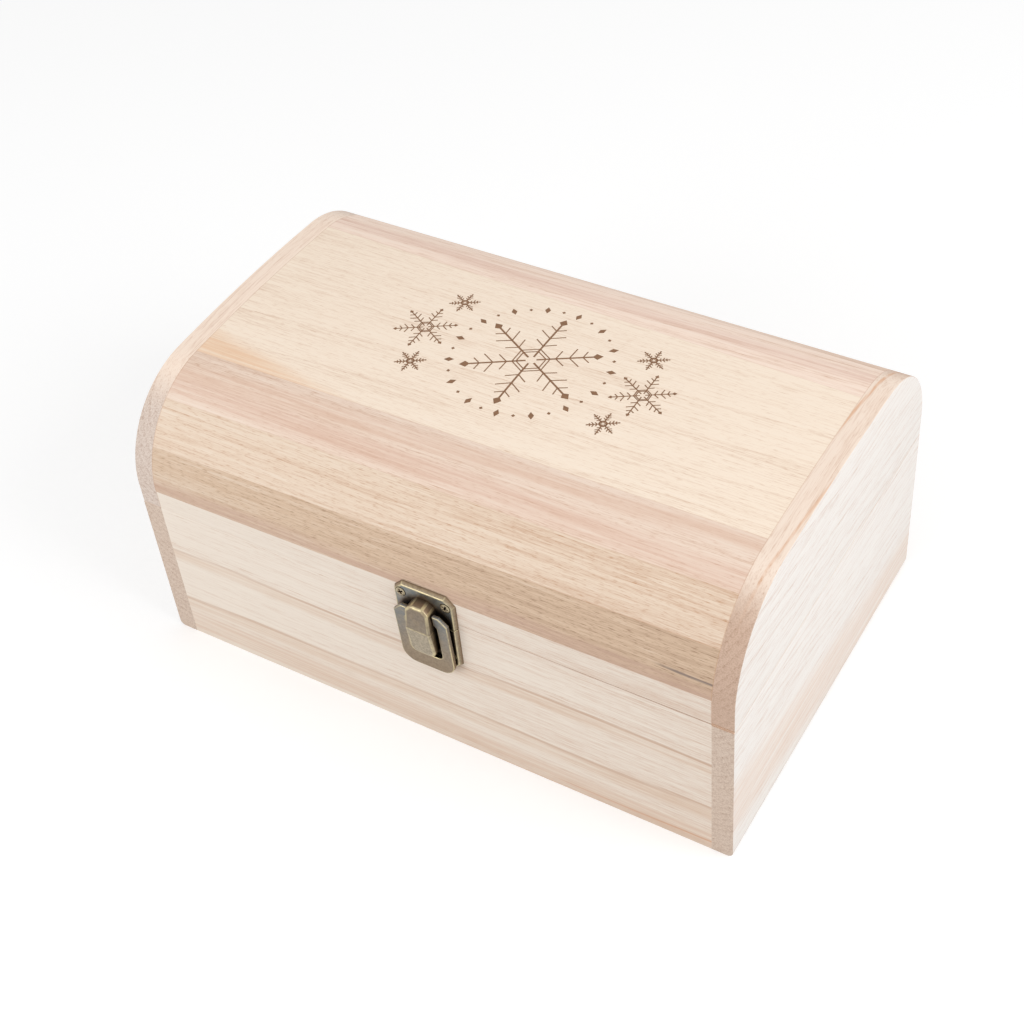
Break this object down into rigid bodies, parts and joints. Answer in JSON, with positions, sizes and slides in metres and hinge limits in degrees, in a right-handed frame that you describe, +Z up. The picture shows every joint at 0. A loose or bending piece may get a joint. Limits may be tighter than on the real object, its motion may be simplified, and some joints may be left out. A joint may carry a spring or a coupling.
{
  "type": "dome-lidded wooden keepsake box",
  "caption": "Wooden keepsake box with a dome lid of glued staves, stop hinges at the back and a bronze ring clasp in front that swings off a hook.",
  "frame": {"origin": "centre of the underside, on the surface that the box stands on", "axes": "+X along the width, -Y towards the front with the clasp, +Z up"},
  "size_m": [0.3, 0.2105, 0.1445],
  "materials": {
    "pale_paulownia": "raw, fine sanded, pale with thin brown grain lines",
    "brown_paulownia": "raw, fine sanded, brown with short dark pores",
    "tan_paulownia": "raw, fine sanded, tan with fine stripes",
    "pink_paulownia": "raw, fine sanded, reddish heartwood",
    "cream_paulownia": "raw, fine sanded, warm cream",
    "birch_plywood": "raw plywood sheet",
    "antique_bronze": "antique bronze plating, dark in the hollows and worn bright on the edges"
  },
  "bodies": {
    "base": {"front_panel": "pale_paulownia", "back_panel": "pale_paulownia", "left_end_panel": "pale_paulownia", "right_end_panel": "pale_paulownia", "bottom_panel": "birch_plywood", "clasp_hook_plate": "antique_bronze", "hook_plate_screws": "antique_bronze", "left_hinge_base_leaf": "antique_bronze", "right_hinge_base_leaf": "antique_bronze", "left_hinge_pin": "antique_bronze", "right_hinge_pin": "antique_bronze", "hinge_base_screws": "antique_bronze"},
    "lid": {"lid_left_end": "pale_paulownia", "lid_right_end": "pale_paulownia", "lid_front_rail": "pale_paulownia", "lid_front_corner_stave": "brown_paulownia", "lid_front_shoulder_stave": "tan_paulownia", "lid_front_haunch_stave": "pink_paulownia", "lid_crown_stave": "cream_paulownia", "lid_back_haunch_stave": "pink_paulownia", "lid_back_shoulder_stave": "brown_paulownia", "lid_back_corner_stave": "tan_paulownia", "lid_back_rail": "pale_paulownia", "clasp_ring_plate": "antique_bronze", "ring_plate_screws": "antique_bronze", "left_hinge_lid_leaf": "antique_bronze", "right_hinge_lid_leaf": "antique_bronze", "hinge_lid_screws": "antique_bronze"},
    "clasp_ring": {"clasp_ring": "antique_bronze"}
  },
  "joints": [
    {"name": "lid_hinge", "type": "hinge", "parent": "base", "child": "lid", "pos_m": [0, 0.0999, 0.08435], "axis": [-1, 0, 0], "range_deg": [0, 100]},
    {"name": "ring_swing", "type": "hinge", "parent": "lid", "child": "clasp_ring", "pos_m": [0.0062, -0.1026, 0.08795], "axis": [-1, 0, 0], "range_deg": [0, 170]}
  ]
}
